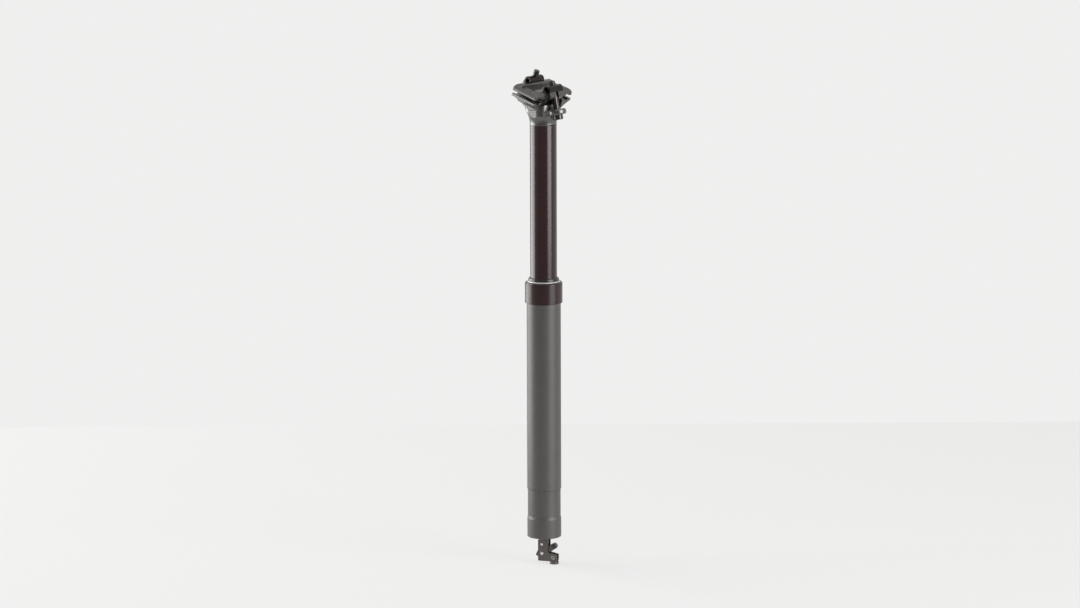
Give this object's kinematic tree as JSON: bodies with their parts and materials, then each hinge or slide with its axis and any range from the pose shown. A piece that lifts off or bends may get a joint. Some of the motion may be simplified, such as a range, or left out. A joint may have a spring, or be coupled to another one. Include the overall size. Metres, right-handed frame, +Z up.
{
  "type": "dropper seatpost",
  "caption": "Telescoping bicycle seatpost with a sliding stanchion, sealed collar, two-bolt tilting rail clamp and a cable release lever under its base.",
  "frame": {"origin": "on the post's axis at the underside of the collar, where the seat tube's top edge stops", "axes": "+Z up along the post's axis, -Y towards the front of the bicycle, +X to the side"},
  "size_m": [0.057, 0.0545, 0.5106],
  "materials": {
    "lower_anodised": "satin dark grey anodised",
    "stanchion_anodised": "gloss black anodised",
    "collar_black": "gloss black anodised",
    "collar_trim": "polished",
    "head_anodised": "satin dark grey, bead blasted",
    "clamp_anodised": "satin near-black anodised",
    "bolt_steel": "black oxide",
    "bright_steel": "plain turned",
    "bracket_steel": "dark plated",
    "rubber": "matt",
    "bushing_plastic": "matt",
    "brass": "plain",
    "inner_aluminium": "plain turned"
  },
  "bodies": {
    "lower": {"lower_tube": "lower_anodised", "seal_collar": "collar_black", "collar_ring": "collar_trim", "wiper_seal": "rubber", "upper_bushing": "bushing_plastic", "base_plug": "inner_aluminium", "cartridge_rod": "bright_steel", "cartridge_piston": "brass", "top_out_bumper": "rubber", "bottom_out_bumper": "rubber", "actuator_stem": "bracket_steel", "bracket_plate_left": "bracket_steel", "bracket_plate_right": "bracket_steel", "bracket_screws": "bright_steel", "lever_pivot_pin": "bright_steel", "cable_stop": "bracket_steel"},
    "post": {"upper_tube": "stanchion_anodised", "clamp_head": "head_anodised", "lower_bushing": "bushing_plastic", "guide_keys": "brass", "cartridge_body": "inner_aluminium", "cartridge_cap": "inner_aluminium", "cartridge_seal_head": "inner_aluminium", "cartridge_retainer": "inner_aluminium"},
    "floating": {"floating_piston": "brass"},
    "clamp": {"lower_cradle": "head_anodised", "upper_clamp": "clamp_anodised"},
    "front_bolt": {"front_clamp_bolt": "bolt_steel", "front_bolt_washer": "bolt_steel"},
    "rear_bolt": {"rear_clamp_bolt": "bolt_steel", "rear_bolt_washer": "bolt_steel"},
    "front_nut": {"front_barrel_nut": "bolt_steel"},
    "rear_nut": {"rear_barrel_nut": "bolt_steel"},
    "lever": {"actuator_lever": "bracket_steel"},
    "anchor": {"cable_anchor": "bolt_steel", "anchor_screw": "bolt_steel"},
    "valve_pin": {"release_pin": "bright_steel"}
  },
  "joints": [
    {"name": "post_drop", "type": "slide", "parent": "lower", "child": "post", "axis": [0, 0, -1], "range_m": [0, 0.15], "stiffness_N_per_m": 300, "springref_m": -0.8},
    {"name": "floating_slide", "type": "slide", "parent": "post", "child": "floating", "axis": [0, 0, 1], "range_m": [0, 0.034]},
    {"name": "clamp_tilt", "type": "hinge", "parent": "post", "child": "clamp", "pos_m": [0, 0.002, 0.2144], "axis": [1, 0, 0], "range_deg": [-8, 8]},
    {"name": "front_bolt_swing", "type": "hinge", "parent": "post", "child": "front_bolt", "pos_m": [0, -0.02126, 0.18664], "axis": [1, 0, 0], "range_deg": [-0.6, 0.6]},
    {"name": "rear_bolt_swing", "type": "hinge", "parent": "post", "child": "rear_bolt", "pos_m": [0, 0.02234, 0.19721], "axis": [1, 0, 0], "range_deg": [-2.4, 2.4]},
    {"name": "front_nut_turn", "type": "hinge", "parent": "clamp", "child": "front_nut", "pos_m": [0, -0.01346, 0.22046], "axis": [1, 0, 0], "range_deg": [-7.5, 7.5]},
    {"name": "rear_nut_turn", "type": "hinge", "parent": "clamp", "child": "rear_nut", "pos_m": [0, 0.01166, 0.2279], "axis": [1, 0, 0], "range_deg": [-5.7, 5.7]},
    {"name": "lever_turn", "type": "hinge", "parent": "lower", "child": "lever", "pos_m": [-0.00049, 0.00121, -0.2609], "axis": [0.9272, 0.3746, 0], "range_deg": [0, 20], "stiffness_Nm_per_rad": 0.2, "springref_deg": -17.19},
    {"name": "anchor_swivel", "type": "hinge", "parent": "lever", "child": "anchor", "pos_m": [0.00401, -0.00992, -0.2532], "axis": [0.9272, 0.3746, 0], "range_deg": [-20.1, 0]},
    {"name": "release_lift", "type": "slide", "parent": "lower", "child": "valve_pin", "axis": [0, 0, 1], "range_m": [0, 0.0011]}
  ],
  "couplings": [
    {"joint": "floating_slide", "follows": "post_drop", "ratio": 0.22438},
    {"joint": "front_bolt_swing", "follows": "clamp_tilt", "ratio": 0.067943},
    {"joint": "rear_bolt_swing", "follows": "clamp_tilt", "ratio": 0.29372},
    {"joint": "front_nut_turn", "follows": "clamp_tilt", "ratio": -0.93206},
    {"joint": "rear_nut_turn", "follows": "clamp_tilt", "ratio": -0.70628},
    {"joint": "anchor_swivel", "follows": "lever_turn", "ratio": -1},
    {"joint": "release_lift", "follows": "lever_turn", "m_per_rad": 0.003049}
  ]
}
